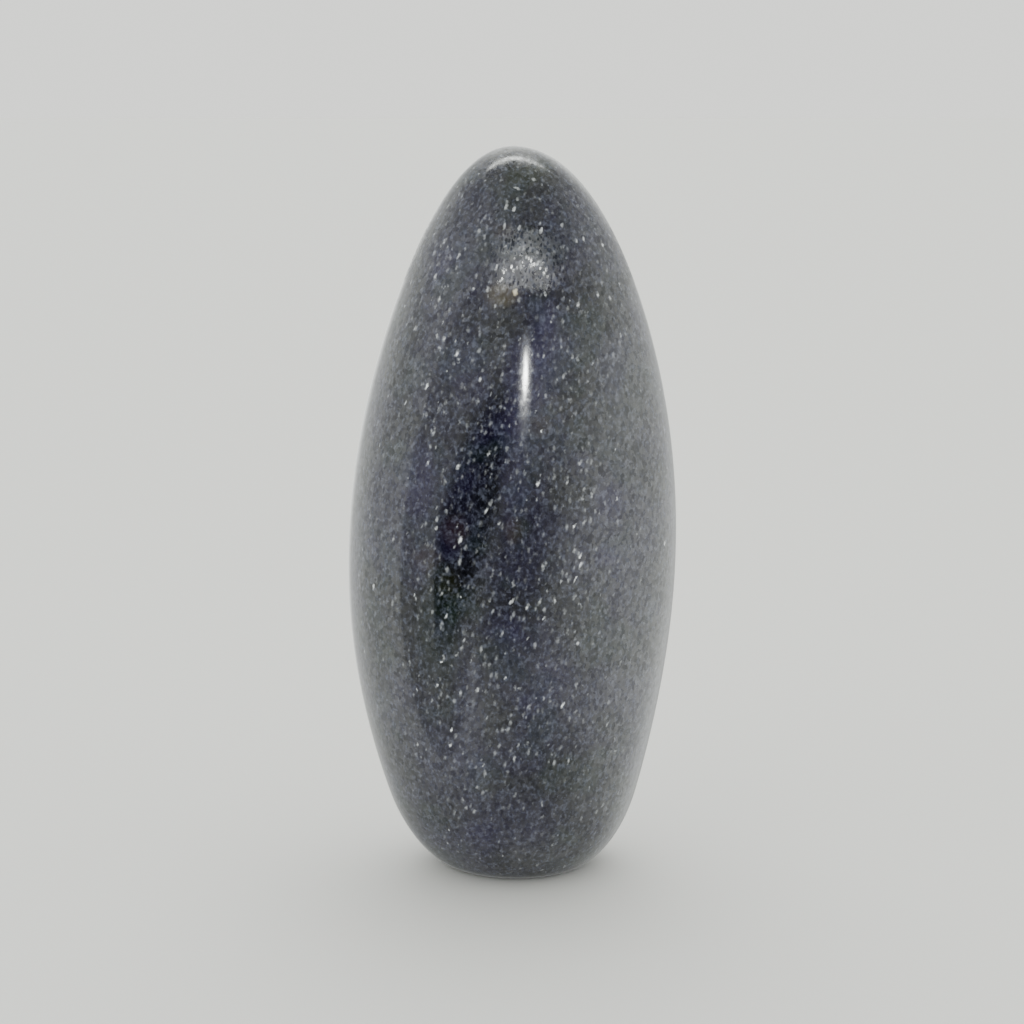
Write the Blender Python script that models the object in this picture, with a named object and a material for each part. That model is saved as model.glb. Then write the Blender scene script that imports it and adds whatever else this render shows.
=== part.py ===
"""Lazulite freeform: one polished stone that stands upright on a small ground flat.

The stone is turned as a round blank, drawn to its hand-shaped sides, and left flat underneath.
It is widest a little below its middle and runs up to a narrow blunt top.
Origin: middle of the stone's box, on the flat.  +Z runs up the stone and -Y is its front.
"""
import math

import bmesh
import bpy
import numpy as np
from mathutils import Vector

MM = 0.001

# Driving dimensions
HEIGHT = 112 * MM                # from the ground flat to the top
WIDEST_HEIGHT = 46 * MM          # height of the widest ring
LOWER_DROP = 59 * MM             # the lower half would close this far below the widest ring
EDGE_RISE = 12 * MM              # height of the round edge between the flat and the sides
EDGE_INSET = 4.5 * MM            # how far that edge draws in at the flat

# How far the sides stand from the axis, read at even steps of height from the flat to the top,
# each before the rings close towards the ends
RIGHT_REACH = (24.6 * MM, 24.1 * MM, 25.4 * MM, 25.5 * MM, 26.0 * MM)
LEFT_REACH = (23.4 * MM, 24.9 * MM, 25.4 * MM, 23.7 * MM, 22.0 * MM)
FRONT_REACH = (20.5 * MM, 20.0 * MM, 19.5 * MM)
BACK_REACH = (19.5 * MM, 19.0 * MM, 18.5 * MM)
CREST_DRIFT = (0.8 * MM, -2.2 * MM, -0.5 * MM, 1.0 * MM)   # sideways sway of the front's crest

# Fineness of the turned blank
AROUND = 64
EDGE_STEPS = 7
LOWER_STEPS = 13
UPPER_STEPS = 22
SAME_POINT = 0.001 * MM          # points closer than this are one

SLATE_BLUE = (0.030, 0.034, 0.046, 1.0)


def clear_scene():
    for old in list(bpy.data.objects):
        bpy.data.objects.remove(old, do_unlink=True)


def polished_lazulite():
    """Dark blue-grey stone with a glassy polish."""
    stone = bpy.data.materials.new("polished_lazulite")
    stone.use_nodes = True
    shader = stone.node_tree.nodes["Principled BSDF"]
    shader.inputs["Base Color"].default_value = SLATE_BLUE
    shader.inputs["Roughness"].default_value = 0.12
    shader.inputs["Metallic"].default_value = 0.0
    shader.inputs["IOR"].default_value = 1.56
    return stone


def smooth_curve(reaches):
    """One smooth curve of the height fraction that runs through evenly spaced values."""
    levels = np.linspace(0.0, 1.0, len(reaches))
    return np.polynomial.Polynomial.fit(levels, reaches, len(reaches) - 1)


RIGHT, LEFT, FRONT, BACK, CREST = (
    smooth_curve(reaches)
    for reaches in (RIGHT_REACH, LEFT_REACH, FRONT_REACH, BACK_REACH, CREST_DRIFT)
)


def ring_fullness(z):
    """1 at the widest ring, closing like half an ellipse towards either end."""
    drop = LOWER_DROP if z < WIDEST_HEIGHT else HEIGHT - WIDEST_HEIGHT
    return math.sqrt(max(0.0, 1.0 - ((z - WIDEST_HEIGHT) / drop) ** 2))


def edge_inset(z):
    """How far the round edge above the flat draws the side in at this height."""
    climb = min(z / EDGE_RISE, 1.0)
    return EDGE_INSET * (1.0 - math.sqrt(1.0 - (1.0 - climb) ** 2))


def ring_heights():
    """Heights of the blank's rings, closer together where the side turns in."""
    quarter = math.pi / 2
    edge = [EDGE_RISE * (1 - math.cos(quarter * i / EDGE_STEPS)) for i in range(EDGE_STEPS + 1)]
    start = math.asin((EDGE_RISE - WIDEST_HEIGHT) / LOWER_DROP)
    lower = [
        WIDEST_HEIGHT + LOWER_DROP * math.sin(start * (1 - i / LOWER_STEPS))
        for i in range(1, LOWER_STEPS + 1)
    ]
    rise = HEIGHT - WIDEST_HEIGHT
    upper = [
        WIDEST_HEIGHT + rise * math.sin(quarter * i / UPPER_STEPS)
        for i in range(1, UPPER_STEPS + 1)
    ]
    return edge + lower + upper


def turned_blank():
    """A round blank: its half outline, spun about the upright axis, with the flat filled in."""
    blank = bmesh.new()
    outline = [
        blank.verts.new((LEFT_REACH[0] * ring_fullness(z) - edge_inset(z), 0.0, z))
        for z in ring_heights()
    ]
    for lower, upper in zip(outline, outline[1:]):
        blank.edges.new((lower, upper))
    bmesh.ops.spin(
        blank,
        geom=blank.verts[:] + blank.edges[:],
        cent=(0.0, 0.0, 0.0),
        axis=(0.0, 0.0, 1.0),
        dvec=(0.0, 0.0, 0.0),
        angle=math.tau,
        steps=AROUND,
        use_merge=True,
        use_duplicate=False,
    )
    bmesh.ops.remove_doubles(blank, verts=blank.verts[:], dist=SAME_POINT)
    rim = [edge for edge in blank.edges if edge.is_boundary]
    bmesh.ops.holes_fill(blank, edges=rim, sides=0)
    return blank


def draw_to_shape(blank):
    """Move each ring of the blank out to the stone's four sides, and lean the front's crest."""
    for vert in blank.verts:
        z = vert.co.z
        side = Vector((vert.co.x, vert.co.y))
        if side.length < SAME_POINT:
            continue
        across, along = side.normalized()
        level = z / HEIGHT
        half_width = (RIGHT(level) + LEFT(level)) / 2 + (RIGHT(level) - LEFT(level)) / 2 * across
        half_depth = (FRONT(level) + BACK(level)) / 2 + (BACK(level) - FRONT(level)) / 2 * along
        fullness = ring_fullness(z)
        inset = edge_inset(z)
        lean = CREST(level) * fullness * max(0.0, -along) ** 2
        vert.co.x = (fullness * half_width - inset) * across + lean
        vert.co.y = (fullness * half_depth - inset) * along


def centre_on_box(stone):
    """Slide the stone so that the middle of its box is over the origin."""
    xs = [vert.co.x for vert in stone.verts]
    ys = [vert.co.y for vert in stone.verts]
    middle = Vector(((min(xs) + max(xs)) / 2, (min(ys) + max(ys)) / 2, 0.0))
    bmesh.ops.translate(stone, vec=-middle, verts=stone.verts[:])


def make_stone():
    stone = turned_blank()
    draw_to_shape(stone)
    centre_on_box(stone)
    bmesh.ops.recalc_face_normals(stone, faces=stone.faces[:])
    mesh = bpy.data.meshes.new("lazulite_stone")
    stone.to_mesh(mesh)
    stone.free()
    mesh.shade_smooth()
    mesh.set_sharp_from_angle(angle=math.radians(40))
    mesh.materials.append(polished_lazulite())
    body = bpy.data.objects.new("lazulite_stone", mesh)
    bpy.context.collection.objects.link(body)
    return body


clear_scene()
make_stone()
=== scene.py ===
"""Lazulite freeform: the looks of one polished standing stone.

All sizes are in metres, in the stone's own frame: origin under its middle, +Z up, -Y its front.
"""
import math

import bmesh
import bpy
import numpy as np
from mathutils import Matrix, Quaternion, Vector


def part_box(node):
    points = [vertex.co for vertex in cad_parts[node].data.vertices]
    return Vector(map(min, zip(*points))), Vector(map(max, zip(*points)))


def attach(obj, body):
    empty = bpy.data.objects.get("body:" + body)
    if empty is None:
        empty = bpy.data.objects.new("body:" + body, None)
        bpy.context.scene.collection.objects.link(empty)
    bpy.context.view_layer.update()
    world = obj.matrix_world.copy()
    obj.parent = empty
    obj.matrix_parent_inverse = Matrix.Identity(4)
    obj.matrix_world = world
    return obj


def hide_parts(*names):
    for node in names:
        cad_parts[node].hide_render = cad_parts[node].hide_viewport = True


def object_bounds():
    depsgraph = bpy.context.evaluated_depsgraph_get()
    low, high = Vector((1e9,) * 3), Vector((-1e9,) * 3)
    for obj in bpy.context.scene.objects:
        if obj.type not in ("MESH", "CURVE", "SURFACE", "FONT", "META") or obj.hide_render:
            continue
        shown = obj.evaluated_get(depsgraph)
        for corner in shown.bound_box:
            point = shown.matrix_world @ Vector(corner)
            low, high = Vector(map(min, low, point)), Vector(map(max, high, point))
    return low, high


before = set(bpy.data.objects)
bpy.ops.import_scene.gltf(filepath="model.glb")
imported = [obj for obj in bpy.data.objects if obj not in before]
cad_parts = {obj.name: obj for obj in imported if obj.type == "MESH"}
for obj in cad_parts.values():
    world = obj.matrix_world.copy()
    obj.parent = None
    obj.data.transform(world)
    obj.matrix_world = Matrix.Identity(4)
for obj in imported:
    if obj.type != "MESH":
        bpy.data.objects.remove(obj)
cad_low, cad_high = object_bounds()

MM = 0.001
SAME_POINT = 0.001 * MM          # points closer than this are one
STONE = "lazulite_stone"

# The stone's form: the same driving dimensions as its solid
HEIGHT = cad_high.z - cad_low.z
WIDEST_HEIGHT = 46 * MM
LOWER_DROP = 59 * MM
EDGE_RISE = 12 * MM
EDGE_INSET = 4.5 * MM
RIGHT_REACH = (24.6 * MM, 24.1 * MM, 25.4 * MM, 25.5 * MM, 26.0 * MM)
LEFT_REACH = (23.4 * MM, 24.9 * MM, 25.4 * MM, 23.7 * MM, 22.0 * MM)
FRONT_REACH = (20.5 * MM, 20.0 * MM, 19.5 * MM)
BACK_REACH = (19.5 * MM, 19.0 * MM, 18.5 * MM)
CREST_DRIFT = (0.8 * MM, -2.2 * MM, -0.5 * MM, 1.0 * MM)

# Fineness of the shown stone
AROUND = 192
EDGE_STEPS = 20
LOWER_STEPS = 44
UPPER_STEPS = 72
SHARP_EDGE = math.radians(40)

# The camera: close, a little above the stone
CAMERA_AIM = 56.6 * MM
CAMERA_DISTANCE = 0.300
CAMERA_RISE = math.radians(12)
CAMERA_NEAREST = 0.01
PICTURE_SIDE = 1024
FOCAL_PIXELS = 1949
SENSOR = 36.0


# ---------------------------------------------------------------- shader helpers

# Where a mix node keeps its colours
COLOUR_A = 6
COLOUR_B = 7
COLOUR_RESULT = 2


def add_node(tree, kind, settings=None, inputs=None):
    """Add a shader node, set its own settings, then set or link its inputs by name or number."""
    made = tree.nodes.new(kind)
    for name, value in (settings or {}).items():
        setattr(made, name, value)
    for name, value in (inputs or {}).items():
        if isinstance(value, bpy.types.NodeSocket):
            tree.links.new(value, made.inputs[name])
        else:
            made.inputs[name].default_value = value
    return made


def math_node(tree, operation, first, second=0.0):
    made = add_node(tree, "ShaderNodeMath", {"operation": operation}, {0: first, 1: second})
    return made.outputs[0]


def smooth_step(tree, value, low, high, to_low=0.0, to_high=1.0):
    made = add_node(
        tree,
        "ShaderNodeMapRange",
        {"interpolation_type": "SMOOTHSTEP"},
        {"Value": value, "From Min": low, "From Max": high, "To Min": to_low, "To Max": to_high},
    )
    return made.outputs["Result"]


def length_of(tree, vector):
    made = add_node(tree, "ShaderNodeVectorMath", {"operation": "LENGTH"}, {0: vector})
    return made.outputs["Value"]


def mix_colour(tree, amount, first, second, blend="MIX"):
    made = add_node(
        tree,
        "ShaderNodeMix",
        {"data_type": "RGBA", "blend_type": blend, "clamp_factor": True},
        {"Factor": amount},
    )
    for slot, value in ((COLOUR_A, first), (COLOUR_B, second)):
        if isinstance(value, bpy.types.NodeSocket):
            tree.links.new(value, made.inputs[slot])
        else:
            made.inputs[slot].default_value = value
    return made.outputs[COLOUR_RESULT]


def tone_ramp(tree, value, stops):
    ramp = add_node(tree, "ShaderNodeValToRGB", None, {"Fac": value})
    points = ramp.color_ramp.elements
    while len(points) < len(stops):
        points.new(0.5)
    for point, (position, colour) in zip(points, stops):
        point.position = position
        point.color = colour
    return ramp.outputs["Color"]


# ---------------------------------------------------------------- studio

def heading(azimuth, elevation):
    """Unit vector at an azimuth from the front (-Y), to the right, and an elevation, in degrees."""
    turn, rise = math.radians(azimuth), math.radians(elevation)
    return Vector((math.sin(turn) * math.cos(rise), -math.cos(turn) * math.cos(rise), math.sin(rise)))


# A glow of the studio: its middle, the cosine where it starts to show, and its strength
STUDIO_GLOWS = (
    (heading(104, -2), 0.27, 1.51),     # right wall
    (heading(94, -36), 0.36, 0.79),     # its lower part
    (heading(37, -2), 0.83, 0.82),      # a pale patch in front, right
    (heading(-67, -17), -0.13, 1.51),   # left wall
    (heading(-154, 20), 0.48, 1.07),    # back wall
    (heading(170, 39), 0.78, 1.48),     # ceiling behind the stone
    (heading(-157, 59), 0.86, 1.13),    # ceiling lamp, left
    (heading(139, 69), 0.95, 1.93),     # ceiling lamp, right
    (heading(41, 87), 0.59, 0.55),      # ceiling above
    (heading(194, -1), 0.93, 0.74),     # paper close behind the stone
    (heading(43, -63), 0.83, 0.82),     # paper at its foot
)
STUDIO_BASE = 0.45
STUDIO_TINT = (0.97, 1.0, 0.96, 1.0)
GROUND_DIMS = (-0.81, -0.37, 0.52, 1.0)    # between these heights of a heading, share left at each

# The paper: what the camera sees past the floor's end, and the floor itself
BACKDROP_COLOUR = (0.99, 1.0, 0.96, 1.0)
BACKDROP_STRENGTH = 1.375
PAPER_COLOUR = (0.80, 0.79, 0.77, 1.0)
PAPER_ROUGHNESS = 0.9
FLOOR_RADIUS = 12.0
FLOOR_SIDES = 256

# Spots of the stone that the cards are aimed at
MID_FRONT = Vector((-4 * MM, -18 * MM, 62 * MM))
UPPER_FRONT = Vector((1.9 * MM, -12.7 * MM, 94.8 * MM))
WINDOW_SPOT = Vector((1.9 * MM, -16.4 * MM, 80.2 * MM))
CROWN = Vector((0.0, -3 * MM, 110 * MM))

# Oval cards: name, spot, direction and distance from it, reach across and up in degrees, roll in
# degrees, strength, share of the radius that glows in full
SHADE_CARDS = (
    ("left_shade", MID_FRONT, heading(-40, -4), 0.62, (29, 39), -30, 0.99, 0.90),
    ("camera_shade", MID_FRONT, heading(8, -11), 0.60, (33, 19), 22, 0.36, 0.19),
    ("dark_card", MID_FRONT, heading(-22, -3), 0.58, (37, 16), 30, 0.01, 0.42),
)
LAMP_CARDS = (
    ("window_glow", WINDOW_SPOT, heading(8.8, 12.2), 0.52, (5.6, 10.0), 0, 8.0, 0.0),
    ("window_lamp", WINDOW_SPOT, heading(8.75, 12.9), 0.50, (2.15, 4.7), 0, 170.0, 0.0),
    ("top_strip", CROWN, heading(193, 77.4), 0.45, (35, 5.5), -8, 20.0, 0.4),
)
CARD_SIDES = 64

# Arches of light: name, spot, direction and distance from it, reach across and up in degrees, the
# hollow's share, how high the arch ends as a share of its height, strength
ARCHES = (
    ("hoop_haze", UPPER_FRONT, heading(8.5, 28.8), 0.51, (23, 6.4), 0.50, 0.44, 2.4),
    ("hoop_rim", UPPER_FRONT, heading(7.5, 28.8), 0.49, (23.5, 6.4), 0.70, 0.40, 38.0),
)
ARCH_FULL = 0.9                  # further out than its own rim: it glows in full all over
ARCH_SIDES = 72

# The foot's shade: its half sizes, how far under the paper it lies, its strength, and the share of
# it that is full
FOOT_SHADE_REACH = (14 * MM, 11.5 * MM, 1.0)
FOOT_SHADE_DROP = 0.1 * MM
FOOT_SHADE_STRENGTH = 0.35
FOOT_SHADE_FULL = 0.7


def set_up_camera():
    lens = bpy.data.cameras.new("camera")
    lens.sensor_width = SENSOR
    lens.lens = FOCAL_PIXELS / PICTURE_SIDE * SENSOR
    lens.clip_start = CAMERA_NEAREST
    camera = bpy.data.objects.new("camera", lens)
    away = Vector((0.0, -math.cos(CAMERA_RISE), math.sin(CAMERA_RISE)))
    camera.location = Vector((0.0, 0.0, CAMERA_AIM)) + away * CAMERA_DISTANCE
    camera.rotation_euler = (math.pi / 2 - CAMERA_RISE, 0.0, 0.0)
    bpy.context.scene.collection.objects.link(camera)
    bpy.context.scene.camera = camera


def light_studio():
    """A plain bright studio: pale walls that glow most at the sides and overhead."""
    world = bpy.data.worlds.new("studio")
    world.use_nodes = True
    tree = world.node_tree
    tree.nodes.clear()
    toward = add_node(tree, "ShaderNodeTexCoord").outputs["Generated"]
    total = STUDIO_BASE
    for direction, start, strength in STUDIO_GLOWS:
        facing = add_node(
            tree, "ShaderNodeVectorMath", {"operation": "DOT_PRODUCT"}, {0: toward, 1: direction}
        ).outputs["Value"]
        total = math_node(tree, "ADD", smooth_step(tree, facing, start, 1.0, 0.0, strength), total)
    up = add_node(tree, "ShaderNodeSeparateXYZ", None, {"Vector": toward}).outputs["Z"]
    total = math_node(tree, "MULTIPLY", total, smooth_step(tree, up, *GROUND_DIMS))
    walls = add_node(tree, "ShaderNodeBackground", None, {"Color": STUDIO_TINT, "Strength": total})
    paper = add_node(
        tree,
        "ShaderNodeBackground",
        None,
        {"Color": BACKDROP_COLOUR, "Strength": BACKDROP_STRENGTH},
    )
    seen = add_node(tree, "ShaderNodeLightPath").outputs["Is Camera Ray"]
    mix = add_node(
        tree, "ShaderNodeMixShader", None, {0: seen, 1: walls.outputs[0], 2: paper.outputs[0]}
    )
    add_node(tree, "ShaderNodeOutputWorld", None, {"Surface": mix.outputs[0]})
    bpy.context.scene.world = world


def mesh_object(name, bm, material, smooth=False):
    mesh = bpy.data.meshes.new(name)
    bm.to_mesh(mesh)
    bm.free()
    mesh.materials.append(material)
    if smooth:
        mesh.shade_smooth()
    made = bpy.data.objects.new(name, mesh)
    bpy.context.scene.collection.objects.link(made)
    return made


def pale_paper():
    made = bpy.data.materials.new("pale_paper")
    made.use_nodes = True
    shader = made.node_tree.nodes["Principled BSDF"]
    shader.inputs["Base Color"].default_value = PAPER_COLOUR
    shader.inputs["Roughness"].default_value = PAPER_ROUGHNESS
    return made


def lay_floor():
    """A wide sheet of pale paper. The polish shows the studio's own glow in its place."""
    floor = bmesh.new()
    bmesh.ops.create_circle(floor, cap_ends=True, radius=FLOOR_RADIUS, segments=FLOOR_SIDES)
    made = mesh_object("floor", floor, pale_paper())
    made.visible_glossy = False


def soft_sheet(name, strength, full):
    """A sheet that glows evenly as far as `full` from its middle and fades to nothing at 1."""
    made = bpy.data.materials.new(name)
    made.use_nodes = True
    tree = made.node_tree
    tree.nodes.clear()
    place = add_node(tree, "ShaderNodeTexCoord").outputs["Object"]
    cover = smooth_step(tree, length_of(tree, place), 1.0, full)
    light = add_node(tree, "ShaderNodeEmission", None, {"Color": STUDIO_TINT, "Strength": strength})
    clear = add_node(tree, "ShaderNodeBsdfTransparent")
    mix = add_node(
        tree, "ShaderNodeMixShader", None, {0: cover, 1: clear.outputs[0], 2: light.outputs[0]}
    )
    add_node(tree, "ShaderNodeOutputMaterial", None, {"Surface": mix.outputs[0]})
    return made


def show_in_polish_only(thing):
    """Let a card be seen only in the polish of the stone."""
    thing.visible_camera = False
    thing.visible_shadow = False
    thing.visible_diffuse = False
    thing.visible_transmission = False


def face_stone(thing, aim, direction, distance, roll=0.0):
    """Stand a flat thing off from a point of the stone, facing it, rolled about its own middle."""
    thing.rotation_mode = "QUATERNION"
    thing.rotation_quaternion = direction.to_track_quat("Z", "Y") @ Quaternion((0.0, 0.0, 1.0), roll)
    thing.location = aim + direction * distance


def half_sizes(distance, reach):
    """Half sizes of a thing that reaches these angles, in degrees, as seen from a distance."""
    return [distance * math.tan(math.radians(side)) for side in reach]


def stand_soft_card(name, aim, direction, distance, reach, roll, strength, full):
    """An oval card with a soft rim."""
    card = bmesh.new()
    bmesh.ops.create_circle(card, cap_ends=True, radius=1.0, segments=CARD_SIDES)
    made = mesh_object(name, card, soft_sheet(name, strength, full))
    made.scale = half_sizes(distance, reach) + [1.0]
    face_stone(made, aim, direction, distance, math.radians(roll))
    show_in_polish_only(made)


def stand_arch(name, aim, direction, distance, reach, inner, sill, strength):
    """The top of an oval ring of light, cut off level at its sill."""
    ring = bmesh.new()
    bmesh.ops.create_circle(ring, radius=1.0, segments=ARCH_SIDES)
    grown = bmesh.ops.extrude_edge_only(ring, edges=ring.edges[:])
    rim = [item for item in grown["geom"] if isinstance(item, bmesh.types.BMVert)]
    bmesh.ops.scale(ring, vec=(inner, inner, 1.0), verts=rim)
    bmesh.ops.bisect_plane(
        ring,
        geom=ring.verts[:] + ring.edges[:] + ring.faces[:],
        plane_co=(0.0, sill, 0.0),
        plane_no=(0.0, -1.0, 0.0),
        clear_outer=True,
    )
    bmesh.ops.scale(ring, vec=half_sizes(distance, reach) + [1.0], verts=ring.verts[:])
    made = mesh_object(name, ring, soft_sheet(name, strength, ARCH_FULL))
    face_stone(made, aim, direction, distance)
    show_in_polish_only(made)


def lay_foot_shade():
    """The shade that the stone throws on the paper round its foot, as the polish shows it."""
    disc = bmesh.new()
    bmesh.ops.create_circle(disc, cap_ends=True, radius=1.0, segments=CARD_SIDES)
    sheet = soft_sheet("foot_shade", FOOT_SHADE_STRENGTH, FOOT_SHADE_FULL)
    made = mesh_object("foot_shade", disc, sheet)
    made.scale = FOOT_SHADE_REACH
    made.location = (0.0, 0.0, -FOOT_SHADE_DROP)
    show_in_polish_only(made)


def set_up_cards():
    for card in SHADE_CARDS:
        stand_soft_card(*card)
    for arch in ARCHES:
        stand_arch(*arch)
    for card in LAMP_CARDS:
        stand_soft_card(*card)
    lay_foot_shade()


# ---------------------------------------------------------------- the stone's form

def smooth_curve(reaches):
    """One smooth curve of the height fraction that runs through evenly spaced values."""
    levels = np.linspace(0.0, 1.0, len(reaches))
    return np.polynomial.Polynomial.fit(levels, reaches, len(reaches) - 1)


RIGHT, LEFT, FRONT, BACK, CREST = (
    smooth_curve(reaches)
    for reaches in (RIGHT_REACH, LEFT_REACH, FRONT_REACH, BACK_REACH, CREST_DRIFT)
)


def ring_fullness(z):
    """1 at the widest ring, closing like half an ellipse towards either end."""
    drop = LOWER_DROP if z < WIDEST_HEIGHT else HEIGHT - WIDEST_HEIGHT
    return math.sqrt(max(0.0, 1.0 - ((z - WIDEST_HEIGHT) / drop) ** 2))


def edge_inset(z):
    """How far the round edge above the flat draws the side in at this height."""
    climb = min(z / EDGE_RISE, 1.0)
    return EDGE_INSET * (1.0 - math.sqrt(1.0 - (1.0 - climb) ** 2))


def ring_heights():
    """Heights of the blank's rings, closer together where the side turns in."""
    quarter = math.pi / 2
    edge = [EDGE_RISE * (1 - math.cos(quarter * i / EDGE_STEPS)) for i in range(EDGE_STEPS + 1)]
    start = math.asin((EDGE_RISE - WIDEST_HEIGHT) / LOWER_DROP)
    lower = [
        WIDEST_HEIGHT + LOWER_DROP * math.sin(start * (1 - i / LOWER_STEPS))
        for i in range(1, LOWER_STEPS + 1)
    ]
    rise = HEIGHT - WIDEST_HEIGHT
    upper = [
        WIDEST_HEIGHT + rise * math.sin(quarter * i / UPPER_STEPS)
        for i in range(1, UPPER_STEPS + 1)
    ]
    return edge + lower + upper


def turned_blank():
    """A round blank: its half outline, spun about the upright axis, with the flat filled in."""
    blank = bmesh.new()
    outline = [
        blank.verts.new((LEFT_REACH[0] * ring_fullness(z) - edge_inset(z), 0.0, z))
        for z in ring_heights()
    ]
    for lower, upper in zip(outline, outline[1:]):
        blank.edges.new((lower, upper))
    bmesh.ops.spin(
        blank,
        geom=blank.verts[:] + blank.edges[:],
        cent=(0.0, 0.0, 0.0),
        axis=(0.0, 0.0, 1.0),
        dvec=(0.0, 0.0, 0.0),
        angle=math.tau,
        steps=AROUND,
        use_merge=True,
        use_duplicate=False,
    )
    bmesh.ops.remove_doubles(blank, verts=blank.verts[:], dist=SAME_POINT)
    rim = [edge for edge in blank.edges if edge.is_boundary]
    bmesh.ops.holes_fill(blank, edges=rim, sides=0)
    return blank


def draw_to_shape(blank):
    """Move each ring of the blank out to the stone's four sides, and lean the front's crest."""
    for vert in blank.verts:
        z = vert.co.z
        side = Vector((vert.co.x, vert.co.y))
        if side.length < SAME_POINT:
            continue
        across, along = side.normalized()
        level = z / HEIGHT
        half_width = (RIGHT(level) + LEFT(level)) / 2 + (RIGHT(level) - LEFT(level)) / 2 * across
        half_depth = (FRONT(level) + BACK(level)) / 2 + (BACK(level) - FRONT(level)) / 2 * along
        fullness = ring_fullness(z)
        inset = edge_inset(z)
        lean = CREST(level) * fullness * max(0.0, -along) ** 2
        vert.co.x = (fullness * half_width - inset) * across + lean
        vert.co.y = (fullness * half_depth - inset) * along


def set_in_place(stone):
    """Slide the stone so that its box stands where the solid's box does."""
    xs = [vert.co.x for vert in stone.verts]
    ys = [vert.co.y for vert in stone.verts]
    middle = Vector(((min(xs) + max(xs)) / 2, (min(ys) + max(ys)) / 2, 0.0))
    low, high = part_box(STONE)
    home = Vector(((low.x + high.x) / 2, (low.y + high.y) / 2, low.z))
    bmesh.ops.translate(stone, vec=home - middle, verts=stone.verts[:])


def order_faces(stone):
    """Put the faces in one fixed order, told by the lowest three of their points."""
    stone.verts.index_update()
    count = len(stone.verts)

    def rank(face):
        first, second, third = sorted(vert.index for vert in face.verts)[:3]
        return (first * count + second) * count + third

    stone.faces.sort(key=rank)


# ---------------------------------------------------------------- the stone's material

# The grains lean and stand a little taller than wide. Each shifts the tone, and fine dust does more
GRAIN = 0.58 * MM
GRAIN_TALL = 1.25
GRAIN_LEAN = (4, 8)
GRAIN_SHARE = 0.22
DUST = 0.47 * MM
DUST_SHARE = 0.78
RAGGED = 0.42 * MM               # size of the teeth of every grain's rim
RAGGED_SHIFT = 0.46 * MM         # how far they stray at most

MATRIX_TONES = (
    (0.28, (0.0019, 0.0021, 0.0033, 1.0)),
    (0.42, (0.0055, 0.0060, 0.0093, 1.0)),
    (0.55, (0.0183, 0.0200, 0.0295, 1.0)),
    (0.74, (0.0700, 0.0770, 0.1080, 1.0)),
)

# Stains add a breath of colour to every grain alike; the pale grey one is no stain but painted sheen
VIOLET = (0.0030, 0.0014, 0.0120, 1.0)
GREENISH = (0.0010, 0.0045, 0.0010, 1.0)
RUSTY = (0.0095, 0.0047, 0.0000, 1.0)
OLIVE = (0.0060, 0.0062, 0.0008, 1.0)
OCHRE = (0.0360, 0.0280, 0.0050, 1.0)
HONEY = (0.6500, 0.5800, 0.4000, 1.0)
# A pale grey that lifts the right flank: painted sheen, standing in for reflected light
PAINTED_SHEEN_GREY = (0.0150, 0.0165, 0.0160, 1.0)

# Broad drifts of colour: tint, size, seed, where the noise starts and fills it
DRIFTS = (
    (VIOLET, 9 * MM, 3.0, 0.40, 0.58),
    (GREENISH, 6.5 * MM, 11.0, 0.51, 0.62),
)

# Single stains in mm, and one patch of painted sheen: middle, reach across, deep and up, tint
STAINS = (
    ((-8.0, -18.3, 57.8), (2.2, 4.0, 2.6), RUSTY),
    ((-12.0, -17.5, 53.5), (2.4, 4.0, 2.2), RUSTY),
    ((0.5, -19.0, 58.2), (1.5, 4.0, 2.2), RUSTY),
    ((4.4, -17.2, 73.1), (1.8, 4.0, 1.8), RUSTY),
    ((-1.0, -10.5, 100.4), (1.8, 4.0, 1.3), RUSTY),
    ((-1.2, -13.7, 91.6), (2.6, 4.0, 1.8), OCHRE),
    ((0.7, -13.5, 92.0), (0.40, 1.2, 0.50), HONEY),
    ((6.4, -16.4, 76.1), (2.0, 4.0, 1.6), OLIVE),
    ((-9.0, -18.6, 50.0), (1.8, 4.0, 2.6), OLIVE),
    ((2.6, -5.6, 108.4), (4.6, 4.0, 2.0), OLIVE),
    ((-10.5, -17.8, 43.0), (3.6, 5.0, 9.0), GREENISH),
    ((4.6, -14.4, 88.4), (2.2, 5.0, 3.0), VIOLET),
    ((2.2, -16.4, 80.0), (3.6, 5.0, 8.0), VIOLET),
    ((6.5, -15.0, 84.0), (3.4, 5.0, 8.0), VIOLET),
    ((0.5, -18.1, 68.0), (2.6, 5.0, 9.0), VIOLET),
    ((-6.2, -18.4, 28.0), (2.6, 5.0, 15.0), VIOLET),
    ((-13.6, -15.4, 65.0), (2.8, 5.0, 7.0), VIOLET),
    ((-6.0, -16.5, 80.0), (4.0, 5.0, 5.0), VIOLET),
    ((0.0, -16.0, 12.0), (9.0, 6.0, 7.0), VIOLET),
    ((2.5, -19.0, 38.0), (7.0, 6.0, 8.0), VIOLET),
    # Painted sheen: a pale grey patch that brightens the right flank as reflected light would
    ((16.5, -11.5, 77.0), (4.5, 6.0, 10.0), PAINTED_SHEEN_GREY),
    ((-9.0, -11.0, 93.0), (4.6, 6.0, 8.0), VIOLET),
    ((14.2, -14.9, 61.5), (3.0, 4.0, 2.8), VIOLET),
    ((14.6, -15.1, 53.6), (2.8, 4.0, 1.8), VIOLET),
)
STAIN_RIM = (1.25, 0.45)         # a stain starts and is full at these shares of its reach

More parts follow.
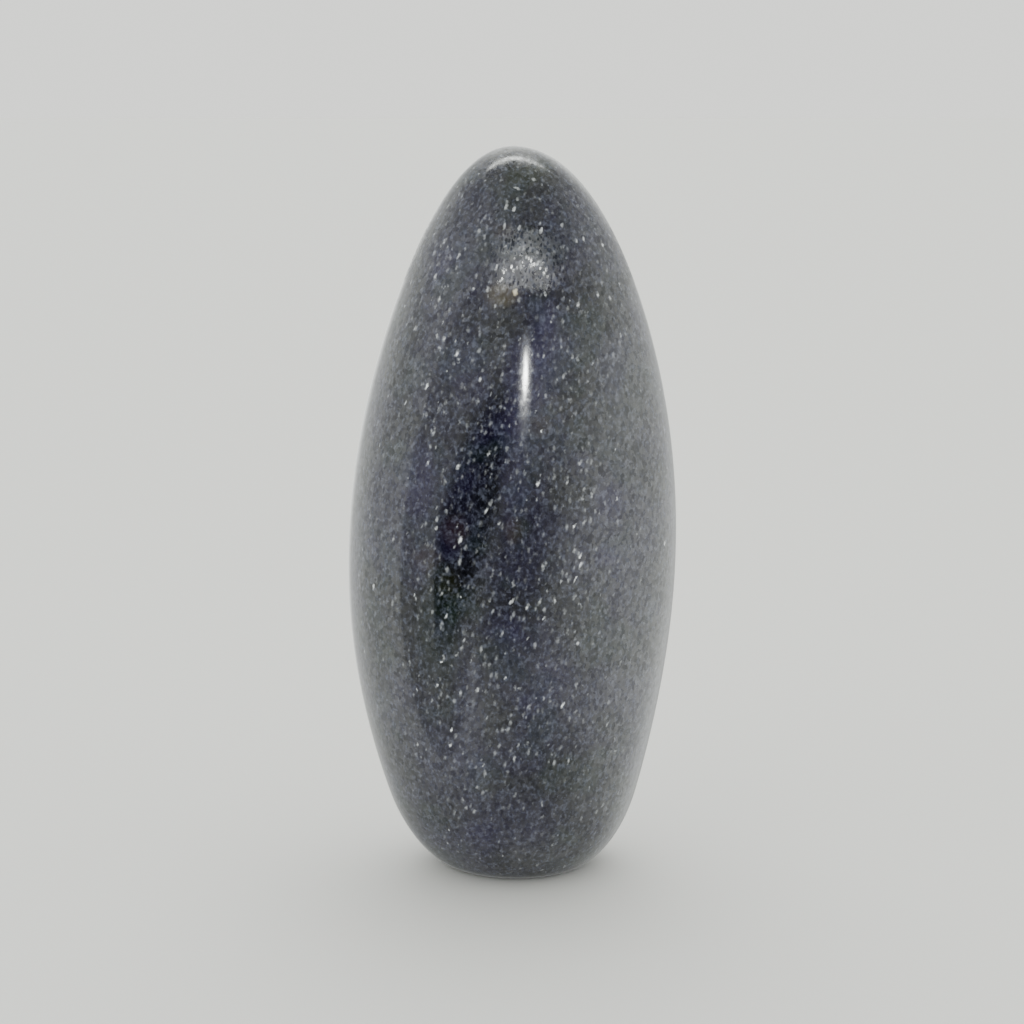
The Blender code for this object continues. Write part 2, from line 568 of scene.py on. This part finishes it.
# Layers of pale crystals: cell width, height over width, lean about X and Y in degrees, share of
# cells that hold one, half-width in cells, dimmest and brightest tone
CRYSTAL_LAYERS = (
    (0.72 * MM, 1.9, (5, 12), 0.78, 0.56, 0.020, 0.290),
    (1.00 * MM, 2.5, (6, 6), 0.40, 0.36, 0.090, 0.740),
    (1.35 * MM, 2.5, (-4, 30), 0.42, 0.26, 0.250, 1.500),
    (2.30 * MM, 2.1, (0, 16), 0.32, 0.17, 0.450, 1.500),
)
SMALLEST_CRYSTAL = 0.5           # of the layer's half-width
TONE_SKEW = 2.2                  # the higher, the rarer the bright ones

# Single large crystals in mm: middle, reach across, deep and up, tone
BIG_CRYSTALS = (
    ((0.9, -7.4, 106.4), (0.55, 1.2, 0.18), 0.50),
    ((-0.6, -8.9, 103.9), (0.22, 1.2, 0.55), 0.40),
    ((0.5, -9.0, 103.5), (0.22, 1.2, 0.38), 0.65),
    ((-0.9, -10.3, 101.1), (0.22, 1.2, 0.56), 0.40),
    ((1.3, -10.4, 100.9), (0.20, 1.2, 0.40), 0.35),
    ((4.4, -10.2, 100.5), (0.22, 1.2, 0.56), 0.50),
    ((7.5, -8.8, 101.2), (0.26, 1.2, 0.40), 0.25),
    ((3.4, -6.0, 107.6), (0.42, 1.2, 0.14), 0.28),
)
BIG_CRYSTAL_RIM = (1.25, 0.55)
BIG_CRYSTAL_LEAN = 18.0

CRYSTAL_WHITE = (1.00, 1.03, 1.06, 1.0)
NO_CRYSTAL = (0.0, 0.0, 0.0, 1.0)

# How rich the stone is in crystals: the distances, heights or noise levels between which that
# changes, and the richness at each. Their fade toward the flanks is painted glint, kept brightest
# where the stone faces the front
# Painted glint: fewer, dimmer crystals toward the flanks, as if they sparkled only face-on
FLANK_GLINT_FADE = (8 * MM, 20 * MM, 1.12, 0.44)
FOOT_RICHNESS = (6 * MM, 30 * MM, 0.55, 1.0)
CROWN_RICHNESS = (96 * MM, 106 * MM, 1.0, 0.7)
CROWD_SIZE = 6 * MM
CROWD_SEED = 41.0
CROWD_RICHNESS = (0.32, 0.60, 0.50, 1.30)
BROKEN_BY_DUST = (0.40, 0.58, 0.45, 1.10)    # between these levels of dust, tone left at each

# Polish: each grain is a mineral of its own and throws back more or less of the light. A range of
# the grain's chance, and the specular level or roughness at each end
STONE_IOR = 1.58
GLOSS = (-0.3, 1.3, 0.31, 0.69)
ROUGHNESS = (0.0, 1.0, 0.05, 0.10)

# Round the stone's upper part only short upright dashes took the full polish, in duller ground
DASH = 0.44 * MM                               # width of the cells that hold one each
DASH_TALL = 2.6
DASH_RIM = (0.34, 0.47)                        # in cells: where a dash ends, and the ground is dull
DULL_FROM = (91 * MM, 93.5 * MM)               # heights between which the dullness comes in
DULL_UP_TO = (102 * MM, 98.5 * MM, 0.45, 1.0)  # heights between which it wanes, share left at each
DULL_ROUGHNESS = 0.26


def stretched_place(tree, place, cell, tall, lean):
    """The object's coordinates, leaned and scaled so that one unit is one cell, taller than wide."""
    leaned = add_node(
        tree,
        "ShaderNodeMapping",
        {"vector_type": "TEXTURE"},
        {
            "Vector": place,
            "Rotation": (math.radians(lean[0]), math.radians(lean[1]), 0.0),
            "Scale": (cell, cell, cell * tall),
        },
    )
    return leaned.outputs["Vector"]


def cells(tree, place, cell, tall, lean):
    """A crowd of cells: each point's distance from its cell's middle, and its cell's own chances."""
    made = add_node(
        tree,
        "ShaderNodeTexVoronoi",
        {"voronoi_dimensions": "3D", "feature": "F1"},
        {"Vector": stretched_place(tree, place, cell, tall, lean), "Scale": 1.0},
    )
    chance = add_node(tree, "ShaderNodeSeparateColor", None, {"Color": made.outputs["Color"]})
    return made.outputs["Distance"], chance.outputs


def drift_noise(tree, place, size, seed):
    made = add_node(
        tree,
        "ShaderNodeTexNoise",
        {"noise_dimensions": "4D"},
        {"Vector": place, "W": seed, "Scale": 1 / size, "Detail": 2.0},
    )
    return made.outputs["Fac"]


def ragged_place(tree, place):
    """The object's coordinates, strayed a little, so that what is placed by them has ragged rims."""
    teeth = add_node(
        tree, "ShaderNodeTexNoise", None, {"Vector": place, "Scale": 1 / RAGGED, "Detail": 1.0}
    )
    strayed = add_node(
        tree,
        "ShaderNodeVectorMath",
        {"operation": "MULTIPLY_ADD"},
        {0: teeth.outputs["Color"], 1: (RAGGED_SHIFT,) * 3, 2: place},
    )
    return strayed.outputs["Vector"]


def dust_noise(tree, place):
    made = add_node(
        tree,
        "ShaderNodeTexNoise",
        None,
        {
            "Vector": stretched_place(tree, place, DUST, GRAIN_TALL, GRAIN_LEAN),
            "Scale": 1.0,
            "Detail": 2.0,
        },
    )
    return made.outputs["Fac"]


def distance_from(tree, place, middle, reach, lean=0.0):
    """Distance from a point, in reaches: both are in mm, across, deep and up; lean in degrees."""
    toward = add_node(
        tree,
        "ShaderNodeMapping",
        {"vector_type": "TEXTURE"},
        {
            "Vector": place,
            "Location": tuple(value * MM for value in middle),
            "Rotation": (0.0, math.radians(lean), 0.0),
            "Scale": tuple(value * MM for value in reach),
        },
    )
    return length_of(tree, toward.outputs["Vector"])


def matrix_colour(tree, chance, dust):
    """Dark blue-grey grains, uneven with dust."""
    tone = math_node(
        tree,
        "ADD",
        math_node(tree, "MULTIPLY", chance, GRAIN_SHARE),
        math_node(tree, "MULTIPLY", dust, DUST_SHARE),
    )
    return tone_ramp(tree, tone, MATRIX_TONES)


def with_stains_and_sheen(tree, place, colour):
    """The matrix colour with its broad drifts, its single stains and one patch of painted sheen."""
    for tint, size, seed, low, high in DRIFTS:
        amount = smooth_step(tree, drift_noise(tree, place, size, seed), low, high)
        colour = mix_colour(tree, amount, colour, tint, "ADD")
    for middle, reach, tint in STAINS:
        away = distance_from(tree, place, middle, reach)
        colour = mix_colour(tree, smooth_step(tree, away, *STAIN_RIM), colour, tint, "ADD")
    return colour


def crystal_and_glint_richness(tree, place):
    """Crystals crowd the middle of the stone and thin out toward its foot and crown. Toward the
    flanks they thin out and dim as painted glint, as if they sparkled only where the stone faces the
    front.
    """
    axes = add_node(tree, "ShaderNodeSeparateXYZ", None, {"Vector": place})
    flank_glint = smooth_step(tree, math_node(tree, "ABSOLUTE", axes.outputs["X"]), *FLANK_GLINT_FADE)
    foot = smooth_step(tree, axes.outputs["Z"], *FOOT_RICHNESS)
    crown = smooth_step(tree, axes.outputs["Z"], *CROWN_RICHNESS)
    return math_node(tree, "MULTIPLY", math_node(tree, "MULTIPLY", flank_glint, foot), crown)


def crystal_layer(tree, place, crowd, cell, tall, lean, share, reach, dim, bright):
    """Lens-shaped crystals: one in a share of the cells, of uneven size and skewed brightness."""
    distance, chance = cells(tree, place, cell, tall, lean)
    size = smooth_step(tree, chance["Green"], 0.0, 1.0, reach * SMALLEST_CRYSTAL, reach)
    inside = smooth_step(tree, math_node(tree, "DIVIDE", distance, size), 1.0, 0.0)
    limit = math_node(tree, "MULTIPLY", crowd, share)
    picked = math_node(tree, "LESS_THAN", chance["Red"], limit)
    skewed = math_node(tree, "POWER", chance["Blue"], TONE_SKEW)
    tone = math_node(tree, "ADD", math_node(tree, "MULTIPLY", skewed, bright - dim), dim)
    return math_node(tree, "MULTIPLY", math_node(tree, "MULTIPLY", inside, picked), tone)


def pale_crystals_and_glints(tree, place, ragged, dust):
    """The colour that every pale crystal adds, large or small, broken up by the dust, with painted
    glint fading toward the flanks.
    """
    richness_and_glint = crystal_and_glint_richness(tree, place)
    crowd = smooth_step(tree, drift_noise(tree, place, CROWD_SIZE, CROWD_SEED), *CROWD_RICHNESS)
    crowd = math_node(tree, "MULTIPLY", crowd, richness_and_glint)
    pale = 0.0
    for layer in CRYSTAL_LAYERS:
        pale = math_node(tree, "MAXIMUM", crystal_layer(tree, ragged, crowd, *layer), pale)
    pale = math_node(tree, "MULTIPLY", pale, richness_and_glint)
    for middle, reach, tone in BIG_CRYSTALS:
        away = distance_from(tree, ragged, middle, reach, BIG_CRYSTAL_LEAN)
        single = smooth_step(tree, away, *BIG_CRYSTAL_RIM, 0.0, tone)
        pale = math_node(tree, "MAXIMUM", single, pale)
    pale = math_node(tree, "MULTIPLY", pale, smooth_step(tree, dust, *BROKEN_BY_DUST))
    return mix_colour(tree, pale, NO_CRYSTAL, CRYSTAL_WHITE)


def polish_roughness(tree, place, chance):
    """Each grain's own roughness, and more of it between the dashes round the upper part."""
    height = add_node(tree, "ShaderNodeSeparateXYZ", None, {"Vector": place}).outputs["Z"]
    zone = math_node(
        tree,
        "MULTIPLY",
        smooth_step(tree, height, *DULL_FROM),
        smooth_step(tree, height, *DULL_UP_TO),
    )
    distance, _ = cells(tree, place, DASH, DASH_TALL, GRAIN_LEAN)
    dulled = math_node(tree, "MULTIPLY", smooth_step(tree, distance, *DASH_RIM), zone)
    body = smooth_step(tree, chance, *ROUGHNESS)
    return math_node(tree, "ADD", body, math_node(tree, "MULTIPLY", dulled, DULL_ROUGHNESS))


def polished_lazulite():
    """Dark grained rock with violet, green and rusty stains, pale crystals and a glassy polish."""
    stone = bpy.data.materials.new("polished_lazulite")
    stone.use_nodes = True
    tree = stone.node_tree
    shader = tree.nodes["Principled BSDF"]
    place = add_node(tree, "ShaderNodeTexCoord").outputs["Object"]
    ragged = ragged_place(tree, place)
    _, chance = cells(tree, ragged, GRAIN, GRAIN_TALL, GRAIN_LEAN)
    dust = dust_noise(tree, place)
    matrix = with_stains_and_sheen(tree, ragged, matrix_colour(tree, chance["Red"], dust))
    colour = mix_colour(tree, 1.0, matrix, pale_crystals_and_glints(tree, place, ragged, dust), "ADD")
    tree.links.new(colour, shader.inputs["Base Color"])
    tree.links.new(smooth_step(tree, chance["Blue"], *GLOSS), shader.inputs["Specular IOR Level"])
    tree.links.new(polish_roughness(tree, place, chance["Green"]), shader.inputs["Roughness"])
    shader.inputs["IOR"].default_value = STONE_IOR
    return stone


def make_stone():
    stone = turned_blank()
    draw_to_shape(stone)
    set_in_place(stone)
    bmesh.ops.recalc_face_normals(stone, faces=stone.faces[:])
    order_faces(stone)
    made = mesh_object("polished_stone", stone, polished_lazulite(), smooth=True)
    made.data.set_sharp_from_angle(angle=SHARP_EDGE)
    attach(made, "root")
    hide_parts(STONE)


# ---------------------------------------------------------------- the scene

set_up_camera()
bpy.context.scene.view_settings.view_transform = "AgX"
light_studio()
lay_floor()
set_up_cards()
make_stone()
